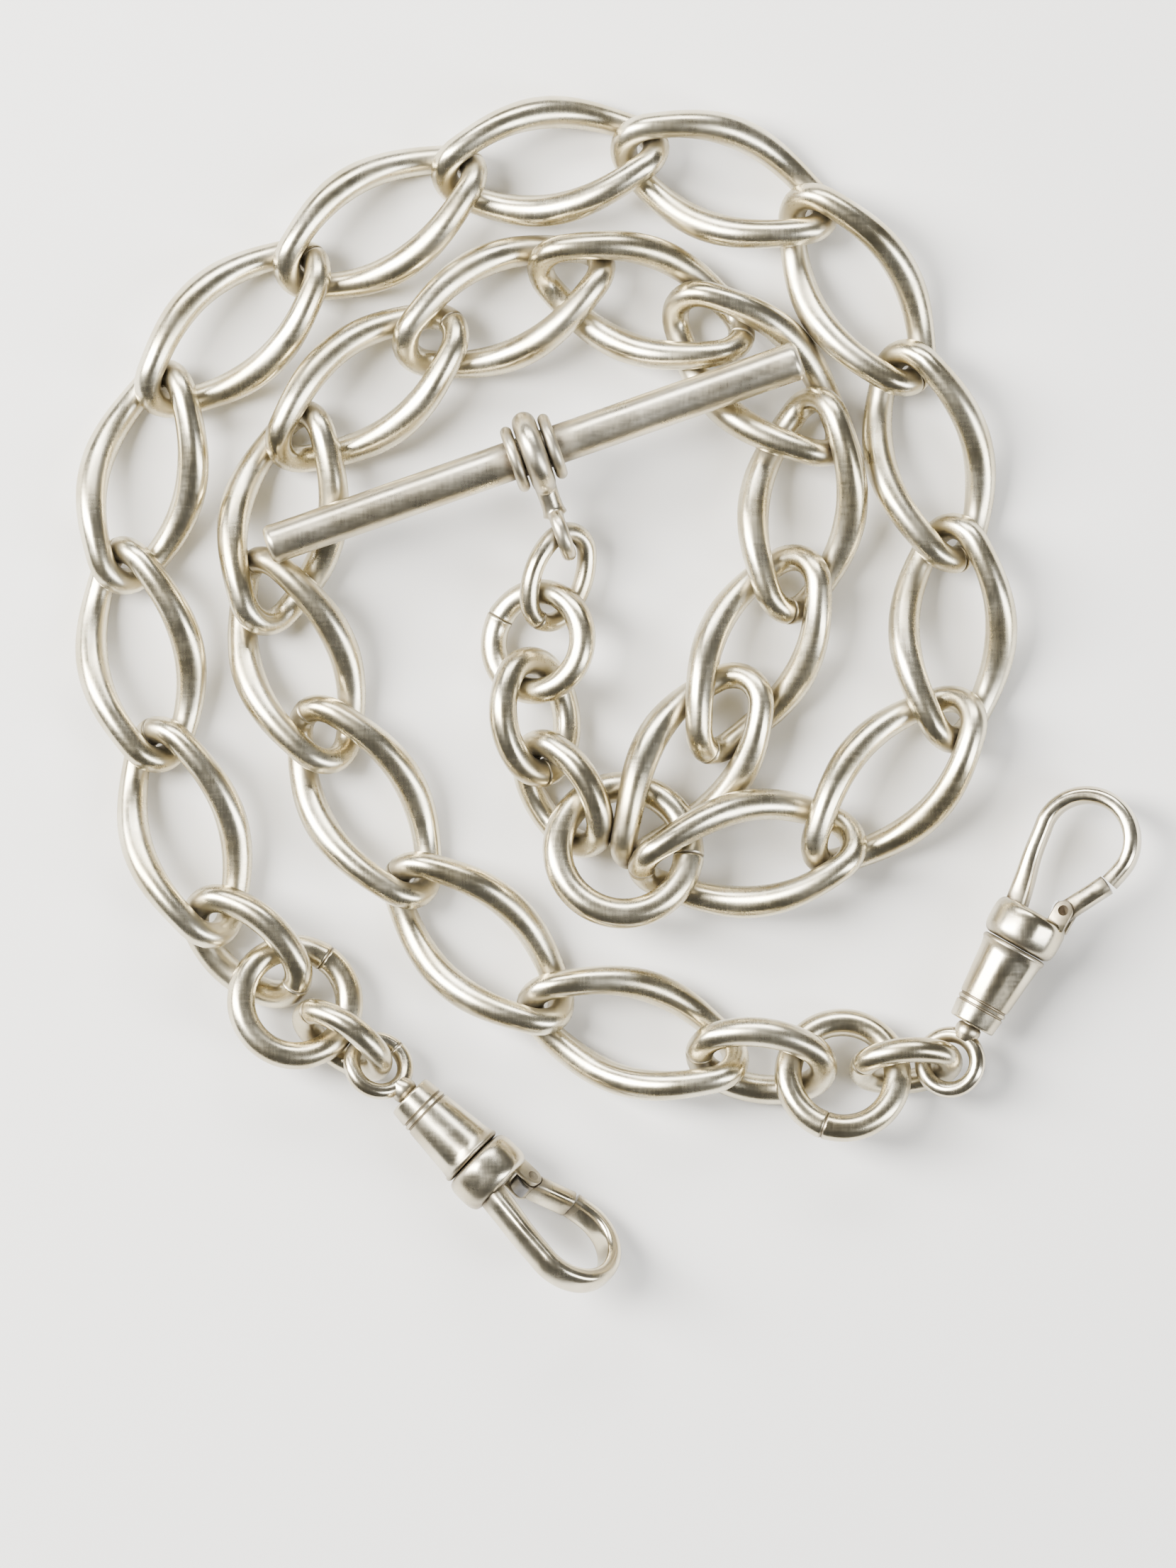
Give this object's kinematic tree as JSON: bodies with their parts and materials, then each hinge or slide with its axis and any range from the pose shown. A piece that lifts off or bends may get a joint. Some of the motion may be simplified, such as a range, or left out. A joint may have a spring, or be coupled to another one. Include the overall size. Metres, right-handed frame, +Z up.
{
  "type": "pocket watch chain",
  "caption": "Double pocket watch chain of twisted oval links laid in a loose coil, with a ring, a T-bar drop and a swivel clip at each end.",
  "frame": {"origin": "middle of the laid chain's box, on the surface that it lies on", "axes": "+Z up off the surface; +Y towards the far end of the coil, the longest side of the laid chain; +X to the right"},
  "size_m": [0.0796, 0.0892, 0.0089],
  "materials": {
    "link_silver": "satin, worn, warm sterling silver",
    "ring_silver": "satin, worn, warm sterling silver",
    "bar_silver": "polished, softly worn sterling silver",
    "clip_silver": "polished, softly worn sterling silver",
    "rivet_silver": "satin silver rivet",
    "spring_steel": "thin spring steel"
  },
  "bodies": {
    "centre_ring": {"centre_ring": "ring_silver"},
    "outer_link_1": {"outer_link_1": "link_silver"},
    "outer_link_2": {"outer_link_2": "link_silver"},
    "outer_link_3": {"outer_link_3": "link_silver"},
    "outer_link_4": {"outer_link_4": "link_silver"},
    "outer_link_5": {"outer_link_5": "link_silver"},
    "outer_link_6": {"outer_link_6": "link_silver"},
    "outer_link_7": {"outer_link_7": "link_silver"},
    "outer_link_8": {"outer_link_8": "link_silver"},
    "outer_link_9": {"outer_link_9": "link_silver"},
    "outer_link_10": {"outer_link_10": "link_silver"},
    "outer_link_11": {"outer_link_11": "link_silver"},
    "outer_link_12": {"outer_link_12": "link_silver"},
    "outer_end_oval": {"outer_end_oval": "ring_silver"},
    "outer_end_ring": {"outer_end_ring": "ring_silver"},
    "outer_end_link": {"outer_end_link": "ring_silver"},
    "outer_eye": {"outer_swivel_eye": "clip_silver"},
    "outer_swivel": {"outer_swivel_barrel": "clip_silver", "outer_swivel_collar": "clip_silver", "outer_swivel_hook": "clip_silver", "outer_swivel_gate_pin": "rivet_silver"},
    "outer_gate": {"outer_swivel_gate": "clip_silver", "outer_swivel_spring": "spring_steel"},
    "inner_link_1": {"inner_link_1": "link_silver"},
    "inner_link_2": {"inner_link_2": "link_silver"},
    "inner_link_3": {"inner_link_3": "link_silver"},
    "inner_link_4": {"inner_link_4": "link_silver"},
    "inner_link_5": {"inner_link_5": "link_silver"},
    "inner_link_6": {"inner_link_6": "link_silver"},
    "inner_link_7": {"inner_link_7": "link_silver"},
    "inner_link_8": {"inner_link_8": "link_silver"},
    "inner_link_9": {"inner_link_9": "link_silver"},
    "inner_link_10": {"inner_link_10": "link_silver"},
    "inner_link_11": {"inner_link_11": "link_silver"},
    "inner_link_12": {"inner_link_12": "link_silver"},
    "inner_end_oval": {"inner_end_oval": "ring_silver"},
    "inner_end_ring": {"inner_end_ring": "ring_silver"},
    "inner_end_link": {"inner_end_link": "ring_silver"},
    "inner_eye": {"inner_swivel_eye": "clip_silver"},
    "inner_swivel": {"inner_swivel_barrel": "clip_silver", "inner_swivel_collar": "clip_silver", "inner_swivel_hook": "clip_silver", "inner_swivel_gate_pin": "rivet_silver"},
    "inner_gate": {"inner_swivel_gate": "clip_silver", "inner_swivel_spring": "spring_steel"},
    "drop_oval_1": {"drop_oval_1": "ring_silver"},
    "drop_oval_2": {"drop_oval_2": "ring_silver"},
    "drop_ring": {"drop_ring": "ring_silver"},
    "drop_link": {"drop_link": "ring_silver"},
    "bar_bail": {"bar_bail": "bar_silver"},
    "bar": {"bar": "bar_silver", "bar_collar_left": "bar_silver", "bar_collar_right": "bar_silver"}
  },
  "joints": [
    {"name": "outer_link_1_hinge", "type": "hinge", "parent": "centre_ring", "child": "outer_link_1", "pos_m": [0.00478, -0.01468, 0.00481], "axis": [0.6417, 0.7309, -0.2321], "range_deg": [0, 40]},
    {"name": "outer_link_2_hinge", "type": "hinge", "parent": "outer_link_1", "child": "outer_link_2", "pos_m": [0.01813, -0.011, 0.00317], "axis": [-0.141, 0.81, -0.5692], "range_deg": [0, 40]},
    {"name": "outer_link_3_hinge", "type": "hinge", "parent": "outer_link_2", "child": "outer_link_3", "pos_m": [0.02666, -0.00089, 0.00309], "axis": [-0.5528, 0.5463, -0.6293], "range_deg": [0, 40]},
    {"name": "outer_link_4_hinge", "type": "hinge", "parent": "outer_link_3", "child": "outer_link_4", "pos_m": [0.02571, 0.01245, 0.00267], "axis": [-0.7408, 0.0034, -0.6717], "range_deg": [0, 40]},
    {"name": "outer_link_5_hinge", "type": "hinge", "parent": "outer_link_4", "child": "outer_link_5", "pos_m": [0.02194, 0.02538, 0.00267], "axis": [0.6805, 0.1733, 0.712], "range_deg": [-40, 0]},
    {"name": "outer_link_6_hinge", "type": "hinge", "parent": "outer_link_5", "child": "outer_link_6", "pos_m": [0.0144, 0.0369, 0.00279], "axis": [-0.5646, -0.3345, -0.7545], "range_deg": [0, 40]},
    {"name": "outer_link_7_hinge", "type": "hinge", "parent": "outer_link_6", "child": "outer_link_7", "pos_m": [0.00133, 0.04122, 0.00274], "axis": [0.2766, 0.6721, 0.6869], "range_deg": [-40, 0]},
    {"name": "outer_link_8_hinge", "type": "hinge", "parent": "outer_link_7", "child": "outer_link_8", "pos_m": [-0.01218, 0.03881, 0.0027], "axis": [-0.0868, 0.7167, 0.692], "range_deg": [-40, 0]},
    {"name": "outer_link_9_hinge", "type": "hinge", "parent": "outer_link_8", "child": "outer_link_9", "pos_m": [-0.0238, 0.03137, 0.00263], "axis": [0.373, -0.6374, -0.6742], "range_deg": [0, 40]},
    {"name": "outer_link_10_hinge", "type": "hinge", "parent": "outer_link_9", "child": "outer_link_10", "pos_m": [-0.03407, 0.02222, 0.00278], "axis": [0.4098, -0.492, -0.7681], "range_deg": [0, 40]},
    {"name": "outer_link_11_hinge", "type": "hinge", "parent": "outer_link_10", "child": "outer_link_11", "pos_m": [-0.03659, 0.0086, 0.00271], "axis": [0.7137, -0.1807, -0.6767], "range_deg": [0, 40]},
    {"name": "outer_link_12_hinge", "type": "hinge", "parent": "outer_link_11", "child": "outer_link_12", "pos_m": [-0.03356, -0.00476, 0.0026], "axis": [0.7378, 0.1357, -0.6613], "range_deg": [0, 40]},
    {"name": "outer_end_oval_hinge", "type": "hinge", "parent": "outer_link_12", "child": "outer_end_oval", "pos_m": [-0.02945, -0.01786, 0.0034], "axis": [0.6622, 0.1579, -0.7325], "range_deg": [0, 40]},
    {"name": "outer_end_ring_hinge", "type": "hinge", "parent": "outer_end_oval", "child": "outer_end_ring", "pos_m": [-0.02644, -0.02028, 0.00327], "axis": [0.6399, 0.7107, -0.2924], "range_deg": [0, 40]},
    {"name": "outer_end_link_hinge", "type": "hinge", "parent": "outer_end_ring", "child": "outer_end_link", "pos_m": [-0.02042, -0.0257, 0.00327], "axis": [0.6399, 0.7107, -0.2924], "range_deg": [0, 40]},
    {"name": "outer_eye_hinge", "type": "hinge", "parent": "outer_end_link", "child": "outer_eye", "pos_m": [-0.01721, -0.02774, 0.00342], "axis": [0.2868, 0.4096, 0.866], "range_deg": [0, 40]},
    {"name": "outer_swivel_spin", "type": "hinge", "parent": "outer_eye", "child": "outer_swivel", "pos_m": [-0.01721, -0.02774, 0.00342], "axis": [0.7176, -0.693, 0.0698], "continuous": true},
    {"name": "outer_gate_hinge", "type": "hinge", "parent": "outer_swivel", "child": "outer_gate", "pos_m": [-0.00619, -0.0366, 0.00287], "axis": [-0.4999, -0.5822, -0.6412], "range_deg": [0, 30], "stiffness_Nm_per_rad": 0.002, "springref_deg": -17.19},
    {"name": "inner_link_1_hinge", "type": "hinge", "parent": "centre_ring", "child": "inner_link_1", "pos_m": [0.00591, -0.01165, 0.0039], "axis": [0.8053, -0.5532, 0.2131], "range_deg": [-8, 0]},
    {"name": "inner_link_2_hinge", "type": "hinge", "parent": "inner_link_1", "child": "inner_link_2", "pos_m": [0.01042, 0.00097, 0.00262], "axis": [-0.2549, 0.3838, -0.8875], "range_deg": [-4, 0]},
    {"name": "inner_link_3_hinge", "type": "hinge", "parent": "inner_link_2", "child": "inner_link_3", "pos_m": [0.01453, 0.00995, 0.00269], "axis": [-0.2411, 0.177, -0.9542], "range_deg": [-9, 0]},
    {"name": "inner_link_4_hinge", "type": "hinge", "parent": "inner_link_3", "child": "inner_link_4", "pos_m": [0.01559, 0.0219, 0.00333], "axis": [0.6121, 0.6291, 0.4791], "range_deg": [-12, 0]},
    {"name": "inner_link_5_hinge", "type": "hinge", "parent": "inner_link_4", "child": "inner_link_5", "pos_m": [0.00974, 0.02664, 0.00242], "axis": [-0.8492, -0.4531, 0.2711], "range_deg": [0, 17]},
    {"name": "inner_link_6_hinge", "type": "hinge", "parent": "inner_link_5", "child": "inner_link_6", "pos_m": [-0.00075, 0.0324, 0.00253], "axis": [-0.436, -0.8729, 0.219], "range_deg": [0, 40]},
    {"name": "inner_link_7_hinge", "type": "hinge", "parent": "inner_link_6", "child": "inner_link_7", "pos_m": [-0.01185, 0.02765, 0.0025], "axis": [-0.436, -0.8729, 0.219], "range_deg": [0, 40]},
    {"name": "inner_link_8_hinge", "type": "hinge", "parent": "inner_link_7", "child": "inner_link_8", "pos_m": [-0.02438, 0.0182, 0.00281], "axis": [-0.6951, 0.172, 0.6981], "range_deg": [-40, 0]},
    {"name": "inner_link_9_hinge", "type": "hinge", "parent": "inner_link_8", "child": "inner_link_9", "pos_m": [-0.02595, 0.00551, 0.00277], "axis": [-0.7067, 0.1701, 0.6868], "range_deg": [-40, 0]},
    {"name": "inner_link_10_hinge", "type": "hinge", "parent": "inner_link_9", "child": "inner_link_10", "pos_m": [-0.02067, -0.00481, 0.00263], "axis": [-0.4997, -0.054, 0.8645], "range_deg": [-40, 0]},
    {"name": "inner_link_11_hinge", "type": "hinge", "parent": "inner_link_10", "child": "inner_link_11", "pos_m": [-0.01427, -0.01481, 0.00266], "axis": [-0.597, -0.3503, 0.7217], "range_deg": [-40, 0]},
    {"name": "inner_link_12_hinge", "type": "hinge", "parent": "inner_link_11", "child": "inner_link_12", "pos_m": [-0.00402, -0.024, 0.00272], "axis": [-0.4737, -0.4908, 0.7313], "range_deg": [-40, 0]},
    {"name": "inner_end_oval_hinge", "type": "hinge", "parent": "inner_link_12", "child": "inner_end_oval", "pos_m": [0.00929, -0.02761, 0.00309], "axis": [-0.2375, -0.659, 0.7136], "range_deg": [-40, 0]},
    {"name": "inner_end_ring_hinge", "type": "hinge", "parent": "inner_end_oval", "child": "inner_end_ring", "pos_m": [0.01342, -0.02832, 0.00352], "axis": [-0.0332, -0.9505, 0.309], "range_deg": [-40, 0]},
    {"name": "inner_end_link_hinge", "type": "hinge", "parent": "inner_end_ring", "child": "inner_end_link", "pos_m": [0.02151, -0.0286, 0.00352], "axis": [-0.0332, -0.9505, 0.309], "range_deg": [-40, 0]},
    {"name": "inner_eye_hinge", "type": "hinge", "parent": "inner_end_link", "child": "inner_eye", "pos_m": [0.02547, -0.02749, 0.00322], "axis": [0.8704, -0.4924, 0], "range_deg": [-40, 0]},
    {"name": "inner_swivel_spin", "type": "hinge", "parent": "inner_eye", "child": "inner_swivel", "pos_m": [0.02547, -0.02749, 0.00332], "axis": [0.4924, 0.8704, 0], "continuous": true},
    {"name": "inner_gate_hinge", "type": "hinge", "parent": "inner_swivel", "child": "inner_gate", "pos_m": [0.03406, -0.01626, 0.0038], "axis": [-0.2106, 0.1191, 0.9703], "range_deg": [0, 30], "stiffness_Nm_per_rad": 0.002, "springref_deg": -17.19},
    {"name": "drop_oval_1_hinge", "type": "hinge", "parent": "centre_ring", "child": "drop_oval_1", "pos_m": [-0.00126, -0.01105, 0.00327], "axis": [-0.623, 0.042, -0.7811], "range_deg": [-40, 0]},
    {"name": "drop_oval_2_hinge", "type": "hinge", "parent": "drop_oval_1", "child": "drop_oval_2", "pos_m": [-0.00559, -0.00385, 0.00327], "axis": [-0.5624, -0.3379, -0.7547], "range_deg": [-40, 0]},
    {"name": "drop_ring_hinge", "type": "hinge", "parent": "drop_oval_2", "child": "drop_ring", "pos_m": [-0.00614, 0.00032, 0.00332], "axis": [-0.8603, 0.1986, -0.4695], "range_deg": [-40, 0]},
    {"name": "drop_link_hinge", "type": "hinge", "parent": "drop_ring", "child": "drop_link", "pos_m": [-0.00447, 0.00753, 0.00332], "axis": [0.6459, 0.353, 0.6769], "range_deg": [0, 40]},
    {"name": "bail_hinge", "type": "hinge", "parent": "drop_link", "child": "bar_bail", "pos_m": [-0.0035, 0.012, 0.00406], "axis": [-0.8134, -0.299, 0.4989], "range_deg": [-40, 0]},
    {"name": "bar_spin", "type": "hinge", "parent": "bar_bail", "child": "bar", "pos_m": [-0.00559, 0.0179, 0.00572], "axis": [0.9438, 0.3305, 0], "continuous": true}
  ]
}
